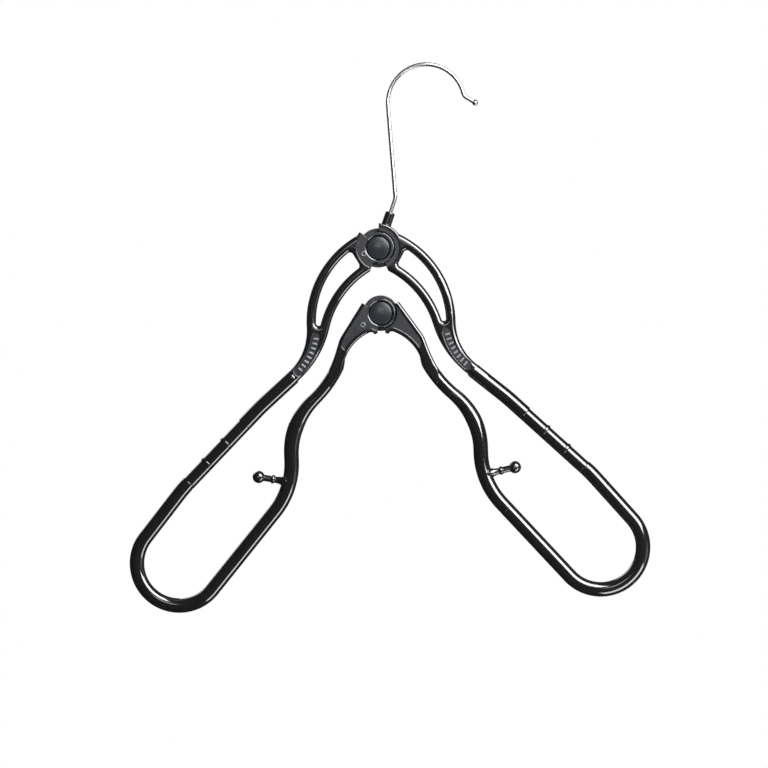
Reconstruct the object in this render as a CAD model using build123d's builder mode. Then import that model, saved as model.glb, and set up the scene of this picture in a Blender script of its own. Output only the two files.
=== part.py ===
"""Folding travel hanger, drawn half folded, as it is held to go into a collar.

Two mirrored halves swing on an upper and a lower hinge. Each half is an upper arm, a flexible end bow
and a lower arm. The origin is the top of the hook's inside, where it hangs on a rail. +Z is up, +X is
to the right and the front faces -Y. Millimetres.
"""
import os
from math import atan2, cos, degrees, radians, sin, sqrt

from build123d import *

os.makedirs("parts", exist_ok=True)

# Wire hook
wire_radius = 1.2
hook_radius = 23.0
hook_centre_right = 32.0
hook_centre_up = 86.0
hook_shank_slope = 92.5
hook_lead_radius = 9.0
hook_lip_radius = 4.0
hook_lip_turn = 45.0
hook_lip_length = 6.2
hook_ball_radius = 1.8
hook_end_angle = 12.0

# Swivel sleeve on the right arm, and the ring that keeps the wire in it
sleeve_angle = 68.9
sleeve_top = 22.6
sleeve_radius = 3.05
sleeve_edge = 0.9
swivel_clearance = 0.07
wire_inner_end = 11.4
chamber_inner = 11.0
chamber_outer = 13.5
chamber_width = 5.0
ring_radius = 2.2
ring_height = 1.1
ring_play = 0.3

# Plates and bars, and the laps that turn on each other at a hinge
arm_thickness = 8.0
lap_gap = 0.3
web_depth = 0.7
running_gap = 0.4
opened_pivot_gap = 0.9
overrun = 1.0

# Hinge hardware, alike in both hinges
rivet_radius = 2.0
rivet_clearance = 0.05
rivet_head_radius = 3.8
rivet_head_height = 0.9
rivet_tail_radius = 3.0
rivet_tail_height = 0.7
burr_radius = 4.8
burr_height = 0.6
washer_radius = 6.6
washer_height = 0.9
washer_side_gap = 0.2
seat_depth = 1.8
seat_radius = 7.0
seat_bevel = 0.8
seat_bevel_depth = 0.5
cap_radius = 6.7
cap_wall = 1.2
cap_rim_height = 2.0
cap_dome_height = 0.9
dome_rise_share = 0.75
cap_edge = 0.6

# Upper hinge
upper_disc_radius = 9.5
upper_back_disc_radius = 11.8
shoulder_radius = 14.7
shoulder_web_radius = 13.0
shoulder_edge = 1.2
disc_edge = 0.5
right_shoulder_from = -60.0
right_shoulder_to = 86.8
left_shoulder_from = 137.3
left_shoulder_to = 240.0
mark_radius = 1.5
mark_line = 0.5
mark_height = 0.25
upper_mark = (-8.8, -3.3)
lower_mark = (-10.9, -6.7)

# Upper arm: an outer and an inner bar that join in a panel, then a tube
bar_width = 5.8
bar_edge = 2.8
bar_flat = 0.2
outer_bar_radius = 56.25
outer_bar_start = (8.48, 6.69)
outer_bar_end = (41.84, -45.98)
inner_bar_radius = 56.8
inner_bar_start = (6.88, -11.51)
inner_bar_end = (33.86, -46.3)
arm_slope = -40.5
panel_outer_half = 4.24
panel_outer_reach = 11.0
panel_inner_half = 3.73
panel_inner_reach = 12.4
panel_nose_width = 5.4
panel_nose_reach = 18.7
gap_side = (13.85, -5.85)
gap_side_slope = 60.5
gap_corner = 2.1
gap_tip = 1.35
slot_start = (39.1, -51.8)
slot_middle = (42.4, -61.4)
slot_end = (50.6, -72.3)
slot_width = 5.6
slot_depth = 1.0
slot_bars = 8
slot_bar_length = 3.2
slot_bar_width = 1.1
slot_bar_height = 0.5

# Upper arm tube and its strap seats
tube_start = (52.0, -73.8)
tube_radius = 4.5
tube_edge = 0.8
tube_root_edge = 3.6
tube_run = 25.1
tube_bend_radius = 120.0
strap_slope = -44.3
strap_lead = 10.6
strap_seats = 3
strap_seat_length = 14.3
strap_rib_length = 2.3
strap_radius = 4.2
strap_offset = 0.25
spigot_radius = 2.6
spigot_length = 10.0
spigot_clearance = 0.05

# End bow
bow_radius = 4.45
bow_entry_radius = 100.0
bow_upper_slope = -50.2
bow_upper_run = 32.0
bow_bend_radius = 25.4
lower_tube_slope = -49.1
bow_lower_run = 54.5
bow_edge = 0.35
groove_place = 1.3
groove_width = 0.5
groove_depth = 0.25

# Lower hinge and the plate round it
hinge_spacing = 39.2
lower_disc_radius = 8.8
lower_back_disc_radius = 10.7
plate_rim = 2.3
plate_edge = 1.8
plate_ear_radius = 12.9
plate_ear_angle = 30.3
plate_top_length = 23.3
plate_top_slope = -56.0
plate_turn_radius = 14.0
plate_waist_slope = -71.5
plate_waist_run = 6.0
plate_flare_radius = 70.0
plate_nose_width = 2.2
plate_nose_run = 13.0
plate_web_reach = 31.0
plate_rim_from = 15.0
plate_rim_to = 40.0
plate_belly_from = (24.2, -33.2)
plate_belly_middle = (17.0, -18.2)
plate_belly_to = (6.9, -11.3)
nub_radius = 1.5
nub_place = 11.6
nub_angle = -71.5
nub_side_angle = -77.0

# Lower arm: a wavy neck, a strap peg and the end of the lower tube
neck_root = (24.6, -25.4)
neck_root_slope = -71.1
neck_root_bend = 40.6
neck_root_radius = 2.5
neck_slope = -62.5
neck_waist_radius = 68.0
neck_waist_slope = -43.0
neck_waist_run = 3.0
neck_wave_radius = 43.0
neck_drop_slope = -90.0
heel_radius = 46.0
neck_radius = 3.9
neck_depth_radius = 4.2
wave_radius = 4.8
drop_radius = 4.5
peg_angle = 11.3
peg_share = 0.39
peg_length = 18.7
peg_ball_radius = 3.75
peg_neck_radius = 1.95
peg_bead_radius = 2.65
peg_bead_place = 10.1
peg_bead_half_length = 1.9
peg_root_radius = 4.2
peg_root_start = 2.6
peg_root_end = 8.4

# The upper hinge in the frame of the hook's seat
hinge_x = -hook_centre_right
hinge_z = -(hook_centre_up + hook_radius - wire_radius)


def front(height):
    """A plane square to the hinge pins and centred on the upper hinge, height in front of the middle."""
    return Plane(origin=(hinge_x, -height, hinge_z), x_dir=(1, 0, 0), z_dir=(0, -1, 0))


def lower_front(height):
    """The same plane, centred on the lower hinge."""
    return Plane(origin=(hinge_x, -height, hinge_z - hinge_spacing), x_dir=(1, 0, 0), z_dir=(0, -1, 0))


def polar(radius, angle):
    return Vector(radius * cos(radians(angle)), radius * sin(radians(angle)))


def bar_arc(start, end, radius):
    """Centre and end angles of a bar's middle line, an arc that bows outward between two points."""
    chord = Vector(*end) - Vector(*start)
    rise = sqrt(radius**2 - (chord.length / 2) ** 2)
    centre = Vector(*start) + chord / 2 + chord.normalized().rotate(Axis.Z, -90) * rise
    first, last = (Vector(*point) - centre for point in (start, end))
    return centre, degrees(atan2(first.Y, first.X)), degrees(atan2(last.Y, last.X))


def beside_tube(reach, side):
    """A point so far along the line of the upper arm's tube, and so far to its outer side."""
    return Vector(*tube_start) + polar(reach, arm_slope) + polar(side, arm_slope + 90)


def bend_radius(point, turn, side):
    """Radius of the bend that takes a bar's edge from a point on to a line beside the tube."""
    away = (point - beside_tube(0, side)).dot(polar(1, arm_slope + 90))
    return away / (1 - cos(radians(turn)))


def two_runs(reach, first_slope, second_slope, radius):
    """Lengths of two straight runs that cover a reach with a tangent arc between them."""
    turn = 1 if second_slope > first_slope else -1
    first = radians(first_slope)
    second = radians(second_slope)
    across = reach.X - turn * radius * (sin(second) - sin(first))
    up = reach.Y - turn * radius * (cos(first) - cos(second))
    first_run = (across * sin(second) - up * cos(second)) / sin(second - first)
    second_run = (up * cos(first) - across * sin(first)) / sin(second - first)
    return first_run, second_run


def disc(place, low, high, radius, side=0):
    """A round disc on a hinge's axis between two heights, its edge rounded on the side that is given."""
    with BuildPart() as built:
        with BuildSketch(place(low)):
            Circle(radius)
        extrude(amount=high - low)
        if side:
            fillet(built.faces().sort_by(Axis.Y)[0 if side > 0 else -1].edges(), disc_edge)
    return built.part


def turned(place, side, profile):
    """A turned solid on a hinge's axis, from pairs of radius and height; side 1 faces the front."""
    centre = place(0).origin
    with BuildPart() as built:
        with BuildSketch(Plane(origin=centre, x_dir=(1, 0, 0), z_dir=(0, 0, -side))):
            with BuildLine():
                Polyline(*profile, close=True)
            make_face()
        revolve(axis=Axis(centre, (0, 1, 0)))
    return built.part


def sector(place, radius, start, end):
    """A slice of a disc as thick as the arms."""
    with BuildPart() as built:
        with BuildSketch(place(-half)):
            with BuildLine():
                rim = CenterArc((0, 0), radius, start, end - start)
                Polyline(rim @ 1, (0, 0), rim @ 0)
            make_face()
        extrude(amount=arm_thickness)
        fillet(built.edges().filter_by(GeomType.CIRCLE), shoulder_edge)
    return built.part


def lap_hollow(place, side, play):
    """What is cut from one lap: the washer's recess, the rivet's hole with its play and the cap's seat."""
    recess = washer_radius + washer_side_gap + play
    hole_radius = rivet_radius + play
    bevel_end = seat_radius + seat_bevel * (1 + overrun / seat_bevel_depth)
    return turned(
        place,
        side,
        [
            (0, 0),
            (recess, 0),
            (recess, washer_height / 2),
            (hole_radius, washer_height / 2),
            (hole_radius, seat_face),
            (seat_radius, seat_face),
            (seat_radius, disc_face - seat_bevel_depth),
            (bevel_end, disc_face + overrun),
            (0, disc_face + overrun),
        ],
    )


def web_hollow(place, side, reach):
    """The shallow round of web sunk into one face of a shoulder."""
    low, high = sorted((side * disc_face, side * (half + overrun)))
    return disc(place, low, high, reach)


def mark(place, centre):
    """A small raised ring left by the mould on the front of a web."""
    with BuildPart() as built:
        with BuildSketch(place(disc_face)):
            with Locations(centre):
                Circle(mark_radius)
                Circle(mark_radius - mark_line, mode=Mode.SUBTRACT)
        extrude(amount=mark_height)
    return built.part


half = arm_thickness / 2
lap_face = lap_gap / 2
disc_face = half - web_depth
seat_face = disc_face - seat_depth
mirror_plane = Plane(origin=(hinge_x, 0, hinge_z), x_dir=(0, 1, 0), z_dir=(1, 0, 0))
hinge_centre = Vector(hinge_x, 0, hinge_z)

# Upper arm: the bars and the panel that both arms share, drawn on the right
outer_centre, outer_from, outer_to = bar_arc(outer_bar_start, outer_bar_end, outer_bar_radius)
inner_centre, inner_from, inner_to = bar_arc(inner_bar_start, inner_bar_end, inner_bar_radius)
outer_turning = arm_slope + 90 - outer_to
inner_turning = arm_slope + 90 - inner_to
slot_arc = ThreePointArc(slot_start, slot_middle, slot_end)
gap_cut = 4 * outer_bar_radius
with BuildPart() as arm_bars:
    with BuildSketch(front(-half)):
        with BuildLine():
            outer = CenterArc(outer_centre, outer_bar_radius + bar_width / 2, outer_from, outer_to - outer_from)
            outer_bend = bend_radius(outer @ 1, outer_turning, panel_outer_half)
            outer_turn = JernArc(outer @ 1, outer % 1, outer_bend, outer_turning)
            inner = CenterArc(inner_centre, inner_bar_radius - bar_width / 2, inner_from, inner_to - inner_from)
            inner_bend = bend_radius(inner @ 1, inner_turning, -panel_inner_half)
            inner_turn = JernArc(inner @ 1, inner % 1, inner_bend, inner_turning)
            Polyline(
                outer_turn @ 1,
                beside_tube(panel_outer_reach, panel_outer_half),
                beside_tube(panel_nose_reach, panel_nose_width / 2),
                beside_tube(panel_nose_reach, -panel_nose_width / 2),
                beside_tube(panel_inner_reach, -panel_inner_half),
                inner_turn @ 1,
            )
            Polyline(inner @ 0, (0, 0), outer @ 0)
        make_face()
    extrude(amount=arm_thickness)
    with BuildSketch(front(-half)) as bar_gap:
        with Locations(outer_centre):
            Circle(outer_bar_radius - bar_width / 2)
        with Locations(inner_centre):
            Circle(inner_bar_radius + bar_width / 2, mode=Mode.SUBTRACT)
        with Locations(Location(gap_side, gap_side_slope - 90)):
            Rectangle(gap_cut, gap_cut, align=(Align.MAX, Align.CENTER), mode=Mode.SUBTRACT)
        wide_end = bar_gap.edges().filter_by(GeomType.LINE)[0]
        fillet(wide_end.vertices(), gap_corner)
        fillet(bar_gap.vertices().sort_by(Axis.Y)[0], gap_tip)
    extrude(amount=arm_thickness, mode=Mode.SUBTRACT)
    rims = [
        edge
        for face in arm_bars.faces().filter_by(Axis.Y)
        for edge in face.edges()
        if (edge.center() - hinge_centre).length > shoulder_radius and edge.length > panel_nose_width
    ]
    fillet(rims, min(bar_edge, (bar_width - bar_flat) / 2))
    for side in (front(half - slot_depth), front(-half - overrun)):
        with BuildSketch(side):
            SlotArc(slot_arc, slot_width)
        extrude(amount=slot_depth + overrun, mode=Mode.SUBTRACT)
    for side in (front(half - slot_depth), front(-half + slot_depth - slot_bar_height)):
        with BuildSketch(side):
            for number in range(slot_bars):
                share = (number + 0.5) / slot_bars
                with Locations(Location(tuple(slot_arc @ share), slot_arc.tangent_angle_at(share) + 90)):
                    SlotOverall(slot_bar_length, slot_bar_width)
        extrude(amount=slot_bar_height)

# Upper arm tube: it leaves the panel, bends a little and carries the strap seats
with BuildLine(front(0)):
    tube_line = PolarLine(tube_start, tube_run, arm_slope)
    tube_bend = JernArc(tube_line @ 1, tube_line % 1, tube_bend_radius, strap_slope - arm_slope)
    tube_lead = PolarLine(tube_bend @ 1, strap_lead, strap_slope)
seat_pitch = strap_seat_length + strap_rib_length
strap_length = strap_seats * seat_pitch - strap_rib_length
strap_start = tube_lead @ 1
strap_direction = tube_lead % 1


def along_strap(distance):
    """A plane across the strap seats, its y pointing to the inner side of the arm."""
    return Plane(origin=strap_start + strap_direction * distance, x_dir=(0, -1, 0), z_dir=strap_direction)


with BuildPart() as arm_tube:
    with BuildSketch(Plane(origin=tube_line @ 0, z_dir=tube_line % 0)):
        Circle(tube_radius)
    sweep(path=[tube_line, tube_bend, tube_lead])
    fillet(arm_tube.faces().sort_by(Axis.X)[-1].edges(), tube_edge)
    fillet(arm_tube.faces().sort_by(Axis.X)[0].edges(), tube_root_edge)
    for number in range(1, strap_seats):
        with BuildSketch(along_strap(number * seat_pitch - strap_rib_length)):
            Circle(tube_radius)
        rib = extrude(amount=strap_rib_length)
        fillet(rib.edges().filter_by(GeomType.CIRCLE), tube_edge)
    with BuildSketch(along_strap(-tube_edge)):
        with Locations((0, strap_offset)):
            Circle(strap_radius)
    extrude(amount=strap_length + tube_edge)
    with BuildSketch(along_strap(strap_length)):
        Circle(spigot_radius)
    extrude(amount=spigot_length)

# Right upper arm: the back lap, with the shoulder round the front disc and the hook's sleeve
sleeve_direction = Vector(cos(radians(sleeve_angle)), 0, sin(radians(sleeve_angle)))


def across_sleeve(distance):
    """A plane across the sleeve, its x pointing to the front."""
    return Plane(origin=hinge_centre + sleeve_direction * distance, x_dir=(0, -1, 0), z_dir=sleeve_direction)


with BuildPart() as right_upper_arm:
    add(arm_bars.part)
    add(arm_tube.part)
    add(sector(front, shoulder_radius, right_shoulder_from, right_shoulder_to))
    with BuildSketch(across_sleeve(chamber_inner)):
        Circle(sleeve_radius)
    extrude(amount=sleeve_top - chamber_inner)
    fillet(right_upper_arm.faces().filter_by(GeomType.PLANE).sort_by(Axis.Z)[-1].edges(), sleeve_edge)
    for side in (1, -1):
        add(web_hollow(front, side, shoulder_web_radius), mode=Mode.SUBTRACT)
    add(disc(front, -lap_face, half + overrun, upper_disc_radius + running_gap), mode=Mode.SUBTRACT)
    add(disc(front, -disc_face, -lap_face, upper_back_disc_radius, -1))
    add(lap_hollow(front, -1, rivet_clearance), mode=Mode.SUBTRACT)
    with BuildSketch(across_sleeve(chamber_inner)):
        with Locations((chamber_width / 2, 0)):
            Rectangle(chamber_width / 2 + half + overrun, chamber_width, align=(Align.MAX, Align.CENTER))
    extrude(amount=chamber_outer - chamber_inner, mode=Mode.SUBTRACT)
    with BuildSketch(across_sleeve(chamber_inner)):
        Circle(wire_radius + swivel_clearance)
    extrude(amount=sleeve_top - chamber_inner + overrun, mode=Mode.SUBTRACT)
right_upper_arm.part.label = "right_upper_arm"
export_step(right_upper_arm.part, "parts/right_upper_arm.step")

# Left upper arm: the front lap, whose disc turns inside the right arm's shoulder
with BuildPart() as left_upper_arm:
    add(arm_bars.part)
    add(arm_tube.part)
    mirror(about=mirror_plane, mode=Mode.REPLACE)
    add(sector(front, shoulder_radius, left_shoulder_from, left_shoulder_to))
    for side in (1, -1):
        add(web_hollow(front, side, shoulder_web_radius), mode=Mode.SUBTRACT)
    back_cavity = disc(front, -half - overrun, lap_face, upper_back_disc_radius + running_gap)
    add(back_cavity, mode=Mode.SUBTRACT)
    add(disc(front, lap_face, disc_face, upper_disc_radius, 1))
    add(mark(front, upper_mark))
    add(lap_hollow(front, 1, rivet_clearance), mode=Mode.SUBTRACT)
left_upper_arm.part.label = "left_upper_arm"
export_step(left_upper_arm.part, "parts/left_upper_arm.step")

# Wire hook, up the sleeve and over the rail to a ball tip
hook_centre = Vector(hook_centre_right, hook_centre_up)
wire_start = polar(wire_inner_end, sleeve_angle)
shank_top = hook_centre + polar(hook_radius, hook_shank_slope + 90)
lead_run, shank_run = two_runs(shank_top - wire_start, sleeve_angle, hook_shank_slope, hook_lead_radius)
with BuildPart() as hook_wire:
    with BuildLine(front(0)):
        lead = PolarLine((wire_start.X, wire_start.Y), lead_run, sleeve_angle)
        lead_bend = JernArc(lead @ 1, lead % 1, hook_lead_radius, hook_shank_slope - sleeve_angle)
        shank = PolarLine(lead_bend @ 1, shank_run, hook_shank_slope)
        crook = JernArc(shank @ 1, shank % 1, hook_radius, hook_end_angle - hook_shank_slope - 90)
        lip_bend = JernArc(crook @ 1, crook % 1, hook_lip_radius, hook_lip_turn)
        lip = PolarLine(lip_bend @ 1, hook_lip_length, hook_end_angle - 90 + hook_lip_turn)
    with BuildSketch(Plane(origin=lead @ 0, z_dir=lead % 0)):
        Circle(wire_radius)
    sweep(path=[lead, lead_bend, shank, crook, lip_bend, lip])
    with Locations(lip @ 1):
        Sphere(hook_ball_radius)
hook_wire.part.label = "hook_wire"
export_step(hook_wire.part, "parts/hook_wire.step")

# The ring pressed on the wire's inner end, which keeps the hook in its sleeve
ring_top = chamber_outer - ring_play
with BuildPart() as hook_retaining_ring:
    with BuildSketch(across_sleeve(ring_top - ring_height)):
        Circle(ring_radius)
        Circle(wire_radius, mode=Mode.SUBTRACT)
    extrude(amount=ring_height)
hook_retaining_ring.part.label = "hook_retaining_ring"
export_step(hook_retaining_ring.part, "parts/hook_retaining_ring.step")

# End bow: a flexible U that slips over a spigot on each arm
upper_joint = strap_start + strap_direction * strap_length
with BuildLine(front(0)):
    bow_entry = JernArc(upper_joint, strap_direction, bow_entry_radius, bow_upper_slope - strap_slope)
    bow_upper = PolarLine(bow_entry @ 1, bow_upper_run, bow_upper_slope)
    bow_bend = JernArc(
        bow_upper @ 1, bow_upper % 1, bow_bend_radius, -(180 + bow_upper_slope - lower_tube_slope)
    )
    bow_lower = PolarLine(bow_bend @ 1, bow_lower_run, 180 + lower_tube_slope)
lower_joint = bow_lower @ 1
lower_joint_direction = bow_lower % 1
with BuildPart() as right_end_bow:
    with BuildSketch(Plane(origin=upper_joint, z_dir=strap_direction)):
        Circle(bow_radius)
    sweep(path=[bow_entry, bow_upper, bow_bend, bow_lower])
    fillet(right_end_bow.faces().filter_by(GeomType.PLANE).sort_by(Axis.Z)[-1].edges(), bow_edge)
    with BuildSketch(along_strap(strap_length + groove_place)):
        Circle(bow_radius + overrun)
        Circle(bow_radius - groove_depth, mode=Mode.SUBTRACT)
    extrude(amount=groove_width, mode=Mode.SUBTRACT)
    with BuildSketch(along_strap(strap_length)):
        Circle(spigot_radius + spigot_clearance)
    extrude(amount=spigot_length + running_gap, mode=Mode.SUBTRACT)
    with BuildSketch(Plane(origin=lower_joint, z_dir=-lower_joint_direction)):
        Circle(spigot_radius + spigot_clearance)
    extrude(amount=spigot_length + running_gap, mode=Mode.SUBTRACT)
right_end_bow.part.label = "right_end_bow"
export_step(right_end_bow.part, "parts/right_end_bow.step")

with BuildPart() as left_end_bow:
    add(right_end_bow.part)
    mirror(about=mirror_plane, mode=Mode.REPLACE)
left_end_bow.part.label = "left_end_bow"
export_step(left_end_bow.part, "parts/left_end_bow.step")

# Lower arm: the plate that both arms share, drawn on the right, and where it runs into the neck
root_heading = (cos(radians(neck_root_slope)), sin(radians(neck_root_slope)))
root_line = JernArc(neck_root, root_heading, neck_root_bend, neck_slope - neck_root_slope)
neck_start = root_line @ 1
with BuildPart() as arm_plate:
    with BuildSketch(lower_front(-half)) as plate_outline:
        with BuildLine():
            ear = polar(plate_ear_radius, plate_ear_angle)
            top = PolarLine(ear, plate_top_length, plate_top_slope)
            turn = JernArc(top @ 1, top % 1, plate_turn_radius, plate_waist_slope - plate_top_slope)
            waist = PolarLine(turn @ 1, plate_waist_run, plate_waist_slope)
            flare = JernArc(waist @ 1, waist % 1, plate_flare_radius, neck_slope - plate_waist_slope)
            belly = ThreePointArc(plate_belly_from, plate_belly_middle, plate_belly_to)
            nose_middle = neck_start + polar(plate_nose_run, neck_slope)
            nose_outer = nose_middle + polar(plate_nose_width / 2, neck_slope + 90)
            nose_inner = nose_middle - polar(plate_nose_width / 2, neck_slope + 90)
            Polyline(flare @ 1, nose_outer, nose_inner, belly @ 0)
            Polyline(belly @ 1, polar(nub_place, nub_side_angle), (0, 0), ear)
        make_face()
        with Locations(polar(nub_place, nub_angle)):
            Circle(nub_radius)
    extrude(amount=arm_thickness)
    lower_centre = lower_front(0).origin
    rims = [
        edge
        for face in arm_plate.faces().filter_by(Axis.Y)
        for edge in face.edges()
        if plate_rim_from < (edge.center() - lower_centre).length < plate_rim_to
        and edge.length > plate_nose_width
    ]
    fillet(rims, plate_edge)
    for height in (disc_face, -half - overrun):
        with BuildSketch(lower_front(height)):
            add(plate_outline.sketch_local)
            Circle(lower_back_disc_radius + plate_rim)
            offset(amount=-plate_rim, mode=Mode.REPLACE)
            Circle(plate_web_reach, mode=Mode.INTERSECT)
        extrude(amount=web_depth + overrun, mode=Mode.SUBTRACT)

# Neck, heel and peg, which both lower arms share, drawn on the right
with BuildLine(lower_front(0)):
    neck_lead = JernArc(neck_root, root_heading, neck_root_bend, neck_slope - neck_root_slope)
    neck_waist = JernArc(neck_lead @ 1, neck_lead % 1, neck_waist_radius, neck_waist_slope - neck_slope)
    waist_run = PolarLine(neck_waist @ 1, neck_waist_run, neck_waist_slope)
    wave_turn = (neck_drop_slope - neck_waist_slope) / 2
    wave_rise = JernArc(waist_run @ 1, waist_run % 1, neck_wave_radius, wave_turn)
    wave_fall = JernArc(wave_rise @ 1, wave_rise % 1, neck_wave_radius, wave_turn)
    reach = lower_joint - wave_fall @ 1
    drop_run, heel_run = two_runs(Vector(reach.X, reach.Z), neck_drop_slope, lower_tube_slope, heel_radius)
    drop = PolarLine(wave_fall @ 1, drop_run, neck_drop_slope)
    heel = JernArc(drop @ 1, drop % 1, heel_radius, lower_tube_slope - neck_drop_slope)
    heel_end = PolarLine(heel @ 1, heel_run, lower_tube_slope)
peg_root = heel @ peg_share
peg_direction = Vector(cos(radians(peg_angle)), 0, sin(radians(peg_angle)))
neck_runs = (
    ([neck_lead], (neck_radius, neck_radius)),
    ([neck_waist], (neck_depth_radius, neck_radius)),
    ([waist_run, wave_rise], (wave_radius, wave_radius)),
    ([wave_fall], (drop_radius, drop_radius)),
    ([drop, heel], (bow_radius, bow_radius)),
    ([heel_end], (bow_radius, bow_radius)),
)
with BuildPart() as arm_neck:
    section = (neck_radius, neck_root_radius)
    for run, next_section in neck_runs:
        with BuildSketch(Plane(origin=run[0] @ 0, x_dir=(0, -1, 0), z_dir=run[0] % 0)):
            Ellipse(*section)
        with BuildSketch(Plane(origin=run[-1] @ 1, x_dir=(0, -1, 0), z_dir=run[-1] % 1)):
            Ellipse(*next_section)
        sweep(path=run, multisection=True)
        section = next_section
    with BuildSketch(Plane(origin=peg_root, x_dir=peg_direction, z_dir=(0, -1, 0))):
        with BuildLine():
            flare_arc = TangentArc(
                (peg_root_end, peg_neck_radius), (peg_root_start, peg_root_radius), tangent=(-1, 0)
            )
            Polyline(
                flare_arc @ 1,
                (0, peg_root_radius),
                (0, 0),
                (peg_length, 0),
                (peg_length, peg_neck_radius),
                flare_arc @ 0,
            )
        make_face()
        with Locations((peg_bead_place, 0)):
            Ellipse(peg_bead_half_length, peg_bead_radius)
        with Locations((peg_length, 0)):
            Circle(peg_ball_radius)
        Rectangle(3 * peg_length, peg_length, align=(Align.CENTER, Align.MAX), mode=Mode.SUBTRACT)
    revolve(axis=Axis(peg_root, peg_direction))
    with BuildSketch(Plane(origin=lower_joint, z_dir=-lower_joint_direction)):
        Circle(spigot_radius)
    extrude(amount=-spigot_length)

# Right lower arm: the back lap
with BuildPart() as right_lower_arm:
    add(arm_plate.part)
    add(arm_neck.part)
    front_cavity = disc(lower_front, -lap_face, half + overrun, lower_disc_radius + opened_pivot_gap)
    add(front_cavity, mode=Mode.SUBTRACT)
    add(disc(lower_front, -disc_face, -lap_face, lower_back_disc_radius, -1))
    add(lap_hollow(lower_front, -1, rivet_clearance), mode=Mode.SUBTRACT)
right_lower_arm.part.label = "right_lower_arm"
export_step(right_lower_arm.part, "parts/right_lower_arm.step")

# Left lower arm: the front lap, with room round the rivet
with BuildPart() as left_lower_arm:
    add(arm_plate.part)
    add(arm_neck.part)
    mirror(about=mirror_plane, mode=Mode.REPLACE)
    lower_back_cavity = disc(
        lower_front, -half - overrun, lap_face, lower_back_disc_radius + opened_pivot_gap
    )
    add(lower_back_cavity, mode=Mode.SUBTRACT)
    add(disc(lower_front, lap_face, disc_face, lower_disc_radius, 1))
    add(mark(lower_front, lower_mark))
    add(lap_hollow(lower_front, 1, opened_pivot_gap), mode=Mode.SUBTRACT)
left_lower_arm.part.label = "left_lower_arm"
export_step(left_lower_arm.part, "parts/left_lower_arm.step")

# Hinge hardware: a shouldered rivet over a burr washer, a friction washer and two snap caps
rivet_tail_face = seat_face + burr_height


def make_cap(place, side):
    """A domed cap that snaps into its seat over the rivet."""
    centre = place(0).origin
    rim_top = seat_face + cap_rim_height
    with BuildPart() as built:
        with BuildSketch(Plane(origin=centre, x_dir=(1, 0, 0), z_dir=(0, 0, -side))):
            with BuildLine():
                dome = ThreePointArc(
                    (cap_radius, rim_top),
                    (cap_radius / 2, rim_top + dome_rise_share * cap_dome_height),
                    (0, rim_top + cap_dome_height),
                )
                under = ThreePointArc(
                    (0, rim_top + cap_dome_height - cap_wall),
                    (cap_radius / 2, rim_top + dome_rise_share * cap_dome_height - cap_wall),
                    (cap_radius - cap_wall, rim_top - cap_wall / 2),
                )
                Line(dome @ 1, under @ 0)
                Polyline(under @ 1, (cap_radius - cap_wall, seat_face), (cap_radius, seat_face), dome @ 0)
            make_face()
        revolve(axis=Axis(centre, (0, 1, 0)))
        fillet(built.edges().filter_by(GeomType.CIRCLE).group_by(Axis.Y)[-2 if side < 0 else 1], cap_edge)
    return built.part


for name, place in (("upper", front), ("lower", lower_front)):
    hinge_parts = {
        "rivet": turned(
            place,
            1,
            [
                (0, -rivet_tail_face - rivet_tail_height),
                (rivet_tail_radius, -rivet_tail_face - rivet_tail_height),
                (rivet_tail_radius, -rivet_tail_face),
                (rivet_radius, -rivet_tail_face),
                (rivet_radius, seat_face),
                (rivet_head_radius, seat_face),
                (rivet_head_radius, seat_face + rivet_head_height),
                (0, seat_face + rivet_head_height),
            ],
        ),
        "burr_washer": turned(
            place,
            -1,
            [
                (rivet_radius, seat_face),
                (burr_radius, seat_face),
                (burr_radius, rivet_tail_face),
                (rivet_radius, rivet_tail_face),
            ],
        ),
        "friction_washer": turned(
            place,
            1,
            [
                (rivet_radius + rivet_clearance, -washer_height / 2),
                (washer_radius, -washer_height / 2),
                (washer_radius, washer_height / 2),
                (rivet_radius + rivet_clearance, washer_height / 2),
            ],
        ),
        "front_cap": make_cap(place, 1),
        "back_cap": make_cap(place, -1),
    }
    for piece, solid in hinge_parts.items():
        solid.label = name + "_hinge_" + piece
        export_step(solid, "parts/" + solid.label + ".step")
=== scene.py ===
# Folding travel hanger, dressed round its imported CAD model: black moulded arms on two riveted hinges,
# flexible end bows and a plated wire hook. Metres; +Z is up and the front faces -Y.
from math import cos, degrees, pi, radians, sin

import bmesh
import bpy
from mathutils import Matrix, Vector


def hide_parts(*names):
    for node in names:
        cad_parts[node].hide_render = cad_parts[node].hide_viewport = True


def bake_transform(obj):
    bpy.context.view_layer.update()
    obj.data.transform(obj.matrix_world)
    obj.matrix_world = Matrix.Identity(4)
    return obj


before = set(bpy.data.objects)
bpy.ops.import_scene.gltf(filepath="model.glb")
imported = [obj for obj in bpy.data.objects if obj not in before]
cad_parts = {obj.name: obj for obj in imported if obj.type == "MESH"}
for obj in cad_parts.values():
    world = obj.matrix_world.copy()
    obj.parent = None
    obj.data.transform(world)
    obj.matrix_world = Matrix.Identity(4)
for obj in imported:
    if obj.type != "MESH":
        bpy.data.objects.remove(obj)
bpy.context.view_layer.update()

# Camera: a long lens straight on to the front, rolled a little, because the hanger leans in the photograph.
# At the hanger its frame is as many metres wide as the photograph's. The sensor is in millimetres.
camera_distance = 2.5
frame_width = 0.4608
sensor_width = 36.0
far_clip = 50
look_at = Vector((-0.03166, 0, -0.18953))
camera_roll = radians(2.2)

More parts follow.
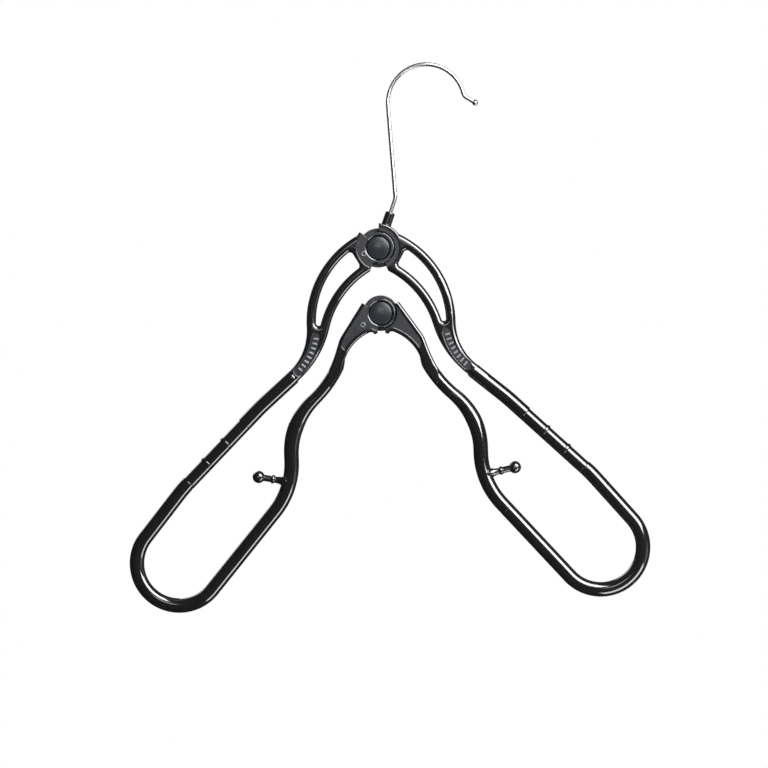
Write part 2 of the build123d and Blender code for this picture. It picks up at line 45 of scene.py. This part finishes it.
camera_data = bpy.data.cameras.new("camera")
camera_data.sensor_width = sensor_width
camera_data.lens = sensor_width * camera_distance / frame_width
camera_data.clip_end = far_clip
camera = bpy.data.objects.new("camera", camera_data)
camera.location = look_at + Vector((0, -camera_distance, 0))
camera.rotation_euler = (pi / 2, camera_roll, 0)
bpy.context.scene.collection.objects.link(camera)
bpy.context.scene.camera = camera
bpy.context.scene.view_settings.view_transform = "Standard"

# Stage: a white floor far below the hanger, and a world that the camera sees as white. Gloss and metal see
# white straight behind the hanger and a dark studio elsewhere, which keeps the black plastic black.
floor_height = -0.85
floor_side = 2.0
floor_white = (0.9, 0.9, 0.9, 1)
floor_rough = 0.8
studio_white = (1.0, 1.0, 1.0, 1.0)
studio_light = 0.9
studio_gloss = 0.03
backdrop_spread = 0.93


class Value:
    """A socket in a node tree; Python's own signs add the Math nodes."""

    def __init__(self, socket):
        self.socket = socket

    def maths(self, operation, *values):
        node = self.socket.id_data.nodes.new("ShaderNodeMath")
        node.operation = operation
        for place, value in zip(node.inputs, values):
            feed(place, value)
        return Value(node.outputs[0])

    def __add__(self, other):
        return self.maths("ADD", self, other)

    def __sub__(self, other):
        return self.maths("SUBTRACT", self, other)

    def __rsub__(self, other):
        return self.maths("SUBTRACT", other, self)

    def __mul__(self, other):
        return self.maths("MULTIPLY", self, other)

    def __gt__(self, other):
        return self.maths("GREATER_THAN", self, other)

    def __lt__(self, other):
        return self.maths("LESS_THAN", self, other)

    def __abs__(self):
        return self.maths("ABSOLUTE", self)

    def clamped(self):
        return self.maths("MINIMUM", self.maths("MAXIMUM", self, 0.0), 1.0)

    __radd__ = __add__
    __rmul__ = __mul__


def feed(place, value):
    """Links a value to a socket, or sets the socket to a plain number or colour."""
    if isinstance(value, Value):
        place.id_data.links.new(value.socket, place)
    else:
        place.default_value = value


class Finish:
    """A node tree that nodes are added to, for a material or the world."""

    def __init__(self, owner):
        owner.use_nodes = True
        self.owner = owner
        self.tree = owner.node_tree

    def node(self, kind, settings, values):
        """A node of that type; its settings are set first, then its sockets' values or links."""
        node = self.tree.nodes.new(kind)
        for name, setting in settings.items():
            setattr(node, name, setting)
        for place, value in values.items():
            feed(node.inputs[place], value)
        return node

    def coordinates(self, kind):
        return Value(self.node("ShaderNodeTexCoord", {}, {}).outputs[kind])

    def noise(self, waves, octaves=3.0, harshness=0.5):
        """Smooth noise from 0 to 1 over the piece, at so many waves a metre."""
        values = {
            "Vector": self.coordinates("Object"),
            "Scale": waves,
            "Detail": octaves,
            "Roughness": harshness,
        }
        return Value(self.node("ShaderNodeTexNoise", {}, values).outputs["Fac"])

    def across(self, vector, axis):
        """One coordinate of a vector."""
        return Value(self.node("ShaderNodeSeparateXYZ", {}, {"Vector": vector}).outputs[axis])

    def blend(self, share, first, second):
        """The first colour where the share is 0, and the second where it is 1."""
        node = self.node("ShaderNodeMix", {"data_type": "RGBA"}, {0: share, 6: first, 7: second})
        return Value(node.outputs[2])

    def bump(self, height, depth, under=None, strength=0.5):
        """A normal from a height, so many metres deep, over another normal."""
        values = {"Height": height, "Distance": depth, "Strength": strength}
        if under is not None:
            values["Normal"] = under
        return Value(self.node("ShaderNodeBump", {}, values).outputs["Normal"])

    def shade(self, values):
        """Sets sockets of the material's Principled shader."""
        for place, value in values.items():
            feed(self.tree.nodes["Principled BSDF"].inputs[place], value)


bpy.ops.mesh.primitive_plane_add(size=floor_side, location=(0, 0, floor_height))
floor = bpy.context.object
floor.name = "floor"
floor.visible_glossy = False
floor_paint = Finish(bpy.data.materials.new("floor_paint"))
floor_paint.shade({"Base Color": floor_white, "Roughness": floor_rough})
floor.data.materials.append(floor_paint.owner)

world = Finish(bpy.data.worlds.new("studio"))
bpy.context.scene.world = world.owner
rays = world.node("ShaderNodeLightPath", {}, {}).outputs
straight_behind = world.across(world.coordinates("Generated"), "Y") > backdrop_spread
in_gloss = (Value(rays["Is Glossy Ray"]) + Value(rays["Is Transmission Ray"])).clamped()
to_camera = Value(rays["Is Camera Ray"])
gloss_level = studio_gloss + straight_behind * (1 - studio_gloss)
level = to_camera + (1 - to_camera) * (in_gloss * gloss_level + (1 - in_gloss) * studio_light)
feed(world.tree.nodes["Background"].inputs["Strength"], level)
feed(world.tree.nodes["Background"].inputs["Color"], studio_white)

# Lamps: a large softbox off to the upper right draws the broad white lines along the right arms, and a low
# one the fine lines along the left arms and round the right bow. One beside the camera lights the wire and
# the caps, and two weak ones give the right side and the back their lines.
right_arm_middle = (0.018, 0, -0.175)
left_arm_middle = (-0.135, 0, -0.235)
down_right = (0.7, 0, -0.71)
up_right = (0.71, 0, 0.7)
sideways = (1, 0, 0)


def softbox(name, place, aim, along, length, width, radiance):
    """A rectangular lamp that faces a point, its long side as near as can be to one direction."""
    data = bpy.data.lights.new(name, "AREA")
    data.shape = "RECTANGLE"
    data.size = length
    data.size_y = width
    data.energy = radiance * pi * length * width
    lamp = bpy.data.objects.new(name, data)
    back = (Vector(place) - Vector(aim)).normalized()
    side = Vector(along) - back * back.dot(Vector(along))
    side.normalize()
    turned = Matrix((side, back.cross(side), back)).transposed().to_4x4()
    lamp.matrix_world = Matrix.Translation(place) @ turned
    lamp.visible_camera = False
    bpy.context.scene.collection.objects.link(lamp)


softbox("key_softbox", (0.493, -0.602, 0.291), right_arm_middle, down_right, 0.95, 0.62, 14.0)
softbox("low_softbox", (0.253, -0.2, -0.59), left_arm_middle, up_right, 0.42, 0.19, 7.0)
softbox("wire_softbox", (-0.02, -1.2, 0.085), look_at, sideways, 0.3, 0.23, 4.0)
softbox("right_softbox", (0.95, -0.35, -0.5), look_at, sideways, 0.4, 0.5, 0.8)
softbox("back_softbox", (-0.5, 0.7, 0.35), look_at, sideways, 0.7, 0.7, 2.0)

# Arms: moulded in glossy black plastic, with faint flow marks and the mould's parting line at mid-depth.
# Their sunk webs and slot floors, the flat faces below the rims, have a matt spark-eroded grain. The tops of
# the raised marks on them are painted paler grey, a painted highlight for the light they catch. The Bevel
# node of the finish softens the moulding's edges.
gloss_black = (0.003, 0.003, 0.0035, 1)
gloss_flow = (0.006, 0.006, 0.0065, 1)
gloss_rough = 0.09
gloss_rough_spread = 0.08
coat_rough = 0.08
plastic_refraction = 1.52
flow_waves = 70.0
flow_depth = 0.00003
flow_strength = 0.4
wear_waves = 420.0
wear_octaves = 4.0
wear_harshness = 0.6
wear_depth = 0.000002
seam_half_width = 0.00012
seam_depth = 0.00003
edge_radius = 0.0008
edge_samples = 8
web_black = (0.003, 0.004, 0.006, 1)
web_pale = (0.012, 0.0135, 0.017, 1)
web_height = 0.00345
web_waves = 110.0
web_rough = 0.33
web_rough_spread = 0.12
# Painted highlight: the tops of the raised marks are painted this pale grey for the light they catch.
mark_highlight_grey = (0.11, 0.115, 0.125, 1)
mark_height = 0.0037
flat_facing = 0.985
grain_waves = 2600.0
grain_harshness = 0.7
grain_depth = 0.00003


def moulded_plastic(name, with_webs):
    """Glossy black plastic with flow marks and a parting line, and soft edges and webs where asked for."""
    finish = Finish(bpy.data.materials.new(name))
    from_middle = abs(finish.across(finish.coordinates("Object"), "Y"))
    flow = finish.noise(flow_waves)
    wear = finish.noise(wear_waves, wear_octaves, wear_harshness)
    colour = finish.blend(flow, gloss_black, gloss_flow)
    rough = gloss_rough + wear * gloss_rough_spread
    rounded = None
    if with_webs:
        bevel = finish.node("ShaderNodeBevel", {"samples": edge_samples}, {"Radius": edge_radius})
        rounded = Value(bevel.outputs["Normal"])
    normal = finish.bump(flow, flow_depth, rounded, flow_strength)
    normal = finish.bump(wear, wear_depth, normal)
    normal = finish.bump(from_middle < seam_half_width, seam_depth, normal)
    coat = 1.0
    if with_webs:
        flat = abs(finish.across(finish.coordinates("Normal"), "Y")) > flat_facing
        web = flat * (from_middle < web_height)
        mark = flat * (from_middle > web_height) * (from_middle < mark_height)
        cloud = finish.noise(web_waves)
        grain = finish.noise(grain_waves, harshness=grain_harshness)
        colour = finish.blend(web, colour, finish.blend(cloud, web_black, web_pale))
        # Painted highlight: pale grey on the tops of the raised marks.
        colour = finish.blend(mark, colour, mark_highlight_grey)
        rough = rough * (1 - web) + (web_rough + cloud * web_rough_spread) * web
        normal = finish.bump(grain * web, grain_depth, normal)
        coat = 1 - web
    finish.shade({"Base Color": colour, "Roughness": rough, "Normal": normal, "IOR": plastic_refraction})
    finish.shade({"Coat Weight": coat, "Coat Roughness": coat_rough})
    return finish.owner


def finish_node(node, material):
    """Gives a CAD piece its finish."""
    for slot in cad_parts[node].material_slots:
        slot.material = material


arm_plastic = moulded_plastic("arm_plastic", True)
for side in ("right", "left"):
    finish_node(side + "_upper_arm", arm_plastic)
    finish_node(side + "_lower_arm", arm_plastic)

# End bows: soft plastic hose, bent to a U and pushed over a spigot at either end. Each is made in two pieces
# that meet in the middle of the U. The upper end has a small collar with a groove. The tube's ends are
# joints, and its headings are degrees from +X towards +Z.
hose_radius = 0.00445
groove_radius = 0.0042
lip_radius = 0.00433
end_radius = 0.0041
hose_sides = 48
mirror_x = -0.032
upper_joint = Vector((0.086544, 0, -0.243845))
lower_joint = Vector((0.039618, 0, -0.267683))
strap_heading = -44.3
upper_heading = -50.2
lower_heading = -49.1
entry_bend = 0.1
entry_steps = 8
u_bend = 0.0254
u_steps = 64
upper_run = 0.032
lower_run = 0.0545
half_turn = (180 + upper_heading - lower_heading) / 2
straight_step = 0.002
sharp_fold = radians(40)
collar = (
    (0.0001, lip_radius),
    (0.00035, hose_radius),
    (0.0013, hose_radius),
    (0.00135, groove_radius),
    (0.00175, groove_radius),
    (0.0018, hose_radius),
)
collar_turn = degrees(collar[-1][0] / entry_bend)


def heading(angle):
    """The direction at so many degrees from +X towards +Z."""
    return Vector((cos(radians(angle)), 0, sin(radians(angle))))


class Hose:
    """A tube drawn out along its path from its first ring."""

    def __init__(self, start, angle, radius):
        self.mesh = bmesh.new()
        self.end = start.copy()
        self.angle = angle
        self.radius = radius
        ring = Matrix.Translation(start) @ Matrix.Rotation(radians(90 - angle), 4, "Y")
        bmesh.ops.create_circle(self.mesh, cap_ends=True, segments=hose_sides, radius=radius, matrix=ring)
        self.ring = self.mesh.edges[:]

    def step(self, length, radius):
        """Draws the tube straight on, to a ring of the given radius."""
        drawn = bmesh.ops.extrude_edge_only(self.mesh, edges=self.ring)["geom"]
        points = [part for part in drawn if isinstance(part, bmesh.types.BMVert)]
        self.ring = [
            part
            for part in drawn
            if isinstance(part, bmesh.types.BMEdge) and all(point in points for point in part.verts)
        ]
        move = heading(self.angle) * length
        self.end = self.end + move
        bmesh.ops.translate(self.mesh, vec=move, verts=points)
        grow = radius / self.radius
        bmesh.ops.scale(self.mesh, vec=(grow, grow, grow), space=Matrix.Translation(-self.end), verts=points)
        self.radius = radius

    def straight(self, length):
        steps = round(length / straight_step)
        for _ in range(steps):
            self.step(length / steps, self.radius)

    def bend(self, radius, turn, steps):
        """Bends the tube through so many degrees, anticlockwise from the front where that is positive."""
        side = 1 if turn > 0 else -1
        centre = self.end + heading(self.angle + side * 90) * radius
        points = list({point for edge in self.ring for point in edge.verts})
        drawn = bmesh.ops.spin(
            self.mesh,
            geom=self.ring + points,
            cent=centre,
            axis=(0, 1, 0),
            angle=-radians(turn),
            steps=steps,
            use_duplicate=False,
        )["geom_last"]
        self.ring = [part for part in drawn if isinstance(part, bmesh.types.BMEdge)]
        arm = self.end - centre
        self.end = centre + Matrix.Rotation(-radians(turn), 3, "Y") @ arm
        self.angle += turn

    def finish(self, name, material, mirrored):
        """Makes the object, on the other side where it is mirrored."""
        bmesh.ops.holes_fill(self.mesh, edges=self.ring, sides=0)
        if mirrored:
            flip = Matrix.Translation((2 * mirror_x, 0, 0)) @ Matrix.Scale(-1, 4, (1, 0, 0))
            bmesh.ops.transform(self.mesh, matrix=flip, verts=self.mesh.verts)
        bmesh.ops.recalc_face_normals(self.mesh, faces=self.mesh.faces)
        data = bpy.data.meshes.new(name)
        self.mesh.to_mesh(data)
        self.mesh.free()
        data.shade_smooth()
        data.set_sharp_from_angle(angle=sharp_fold)
        data.materials.append(material)
        hose = bpy.data.objects.new(name, data)
        bpy.context.scene.collection.objects.link(hose)
        return hose


bow_plastic = moulded_plastic("bow_plastic", False)
for side, mirrored in (("right", False), ("left", True)):
    upper = Hose(upper_joint, strap_heading - collar_turn / 2, end_radius)
    reached = 0
    for distance, radius in collar:
        upper.step(distance - reached, radius)
        reached = distance
    upper.angle = strap_heading - collar_turn
    upper.bend(entry_bend, upper_heading - upper.angle, entry_steps)
    upper.straight(upper_run)
    upper.bend(u_bend, -half_turn, u_steps)
    upper_half = upper.finish(side + "_bow_upper_half", bow_plastic, mirrored)
    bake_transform(upper_half)

    lower = Hose(lower_joint, lower_heading, hose_radius)
    lower.straight(lower_run)
    lower.bend(u_bend, half_turn, u_steps)
    lower_half = lower.finish(side + "_bow_lower_half", bow_plastic, mirrored)
    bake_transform(lower_half)

    for half in (upper_half, lower_half):
        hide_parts(side + "_end_bow")

# Wire hook: drawn steel wire, bent cold and chrome plated, with a ball on its tip. The plating follows the
# fine drawing lines of the wire.
chrome_grey = (0.55, 0.556, 0.562, 1)
wire_waves = 900.0
wire_rough = 0.19
wire_rough_spread = 0.1
wire_line_depth = 0.000002

chrome = Finish(bpy.data.materials.new("chrome"))
wire_lines = chrome.noise(wire_waves)
chrome.shade(
    {
        "Base Color": chrome_grey,
        "Metallic": 1.0,
        "Roughness": wire_rough + wire_lines * wire_rough_spread,
        "Normal": chrome.bump(wire_lines, wire_line_depth),
    }
)
finish_node("hook_wire", chrome.owner)

# Rivets, burr washers and the ring on the wire's inner end: turned from bare steel. The rivet's tail is
# spread over its burr washer to clamp the laps, and the ring is pressed on.
steel_grey = (0.5, 0.5, 0.51, 1)
turning_waves = 1500.0
turning_octaves = 4.0
turning_depth = 0.00001
steel_rough = 0.25
steel_rough_spread = 0.2
hinges = ("upper_hinge_", "lower_hinge_")

steel = Finish(bpy.data.materials.new("turned_steel"))
turning = steel.noise(turning_waves, turning_octaves)
steel.shade(
    {
        "Base Color": steel_grey,
        "Metallic": 1.0,
        "Roughness": steel_rough + turning * steel_rough_spread,
        "Normal": steel.bump(turning, turning_depth),
    }
)
finish_node("hook_retaining_ring", steel.owner)
for hinge in hinges:
    finish_node(hinge + "rivet", steel.owner)
    finish_node(hinge + "burr_washer", steel.owner)

# Friction washers: punched from undyed nylon sheet. The rivets clamp them between the laps, where they hold
# the fold.
nylon_dark = (0.72, 0.7, 0.63, 1)
nylon_pale = (0.8, 0.78, 0.72, 1)
nylon_waves = 500.0
nylon_rough = 0.35
nylon_rough_spread = 0.15

nylon = Finish(bpy.data.materials.new("nylon"))
nylon_cloud = nylon.noise(nylon_waves)
nylon.shade(
    {
        "Base Color": nylon.blend(nylon_cloud, nylon_dark, nylon_pale),
        "Roughness": nylon_rough + nylon_cloud * nylon_rough_spread,
    }
)
for hinge in hinges:
    finish_node(hinge + "friction_washer", nylon.owner)

# Caps: domed black plastic with a fine satin grain, moulded and snapped into the seats over the rivet's head
# and tail, to hide them.
cap_black = (0.006, 0.007, 0.009, 1)
cap_pale = (0.014, 0.016, 0.02, 1)
cap_waves = 160.0
cap_rough = 0.2
cap_rough_spread = 0.12
cap_grain_depth = 0.000003

cap_finish = Finish(bpy.data.materials.new("cap_plastic"))
cap_cloud = cap_finish.noise(cap_waves)
cap_grain = cap_finish.noise(grain_waves, harshness=grain_harshness)
cap_finish.shade(
    {
        "Base Color": cap_finish.blend(cap_cloud, cap_black, cap_pale),
        "Roughness": cap_rough + cap_cloud * cap_rough_spread,
        "Normal": cap_finish.bump(cap_grain, cap_grain_depth),
    }
)
for hinge in hinges:
    finish_node(hinge + "front_cap", cap_finish.owner)
    finish_node(hinge + "back_cap", cap_finish.owner)
